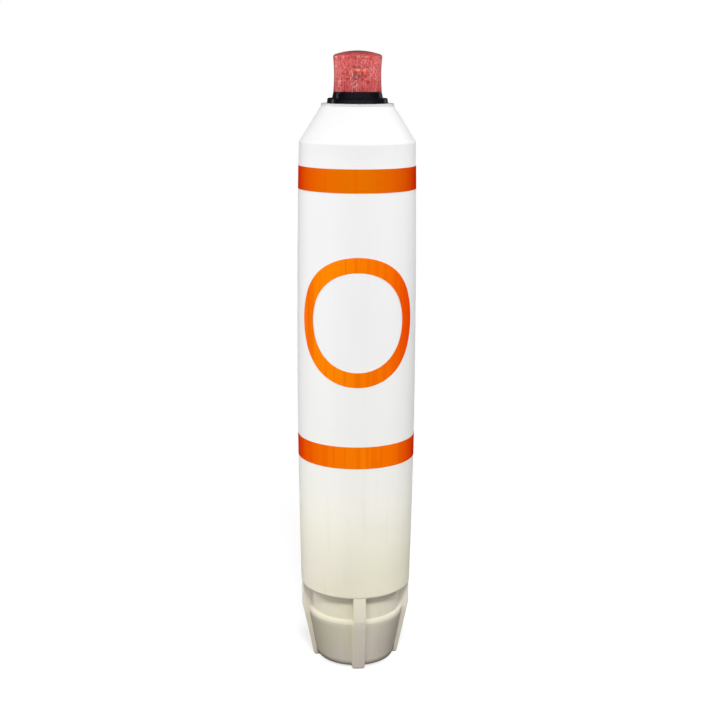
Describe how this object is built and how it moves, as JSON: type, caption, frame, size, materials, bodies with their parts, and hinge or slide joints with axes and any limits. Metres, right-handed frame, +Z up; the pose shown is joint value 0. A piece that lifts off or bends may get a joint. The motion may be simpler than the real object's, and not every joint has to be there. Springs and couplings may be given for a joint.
{
  "type": "regulatory marker buoy",
  "caption": "Slim moulded can buoy with orange bands and ring signs, a ribbed base with a mooring eye, and a solar lantern with a red lens on top.",
  "frame": {"origin": "on the floor, under the middle of the four rib feet that the buoy stands on", "axes": "+Z up along the buoy's axis; the front ring sign faces -Y; the ribs lie on the X and Y axes"},
  "size_m": [0.27, 0.2712, 1.417],
  "materials": {
    "hull_plastic": "satin, white above and ivory towards the base",
    "orange_tape": "glossy retro-reflective orange tape",
    "galvanised_steel": "hot-dip galvanised, spangled",
    "ballast_iron": "bare iron",
    "plate_aluminium": "satin",
    "plug_plastic": "satin ivory",
    "black_plastic": "semi-gloss black",
    "seal_rubber": "matte",
    "lens_red": "clear red moulded polycarbonate",
    "tray_white": "matte white moulding",
    "tray_black": "matte",
    "panel_cells": "dark glossy solar cells",
    "board_green": "solder-masked board",
    "post_metal": "plain",
    "lamp_amber": "clear amber lamp bodies",
    "terminal_green": "yellow-green moulding",
    "cell_wrap": "shrink-wrapped cells"
  },
  "bodies": {
    "root": {"hull": "hull_plastic", "upper_band": "orange_tape", "lower_band": "orange_tape", "front_ring": "orange_tape", "back_ring": "orange_tape", "top_plate": "plate_aluminium", "mooring_eye": "galvanised_steel", "mooring_nut": "galvanised_steel", "mooring_plate": "galvanised_steel", "ballast_block": "ballast_iron", "fill_plug": "plug_plastic", "vent_plug": "plug_plastic", "lantern_flange": "black_plastic", "lantern_collar": "black_plastic", "lens_seal": "seal_rubber", "lens": "lens_red", "solar_tray": "tray_white", "solar_panel": "panel_cells", "circuit_board": "board_green", "board_standoffs": "post_metal", "terminal_block": "terminal_green", "lamp_tower": "post_metal", "lamps": "lamp_amber", "tower_cap": "post_metal", "battery_cells": "cell_wrap", "battery_holder": "tray_black"}
  },
  "joints": []
}
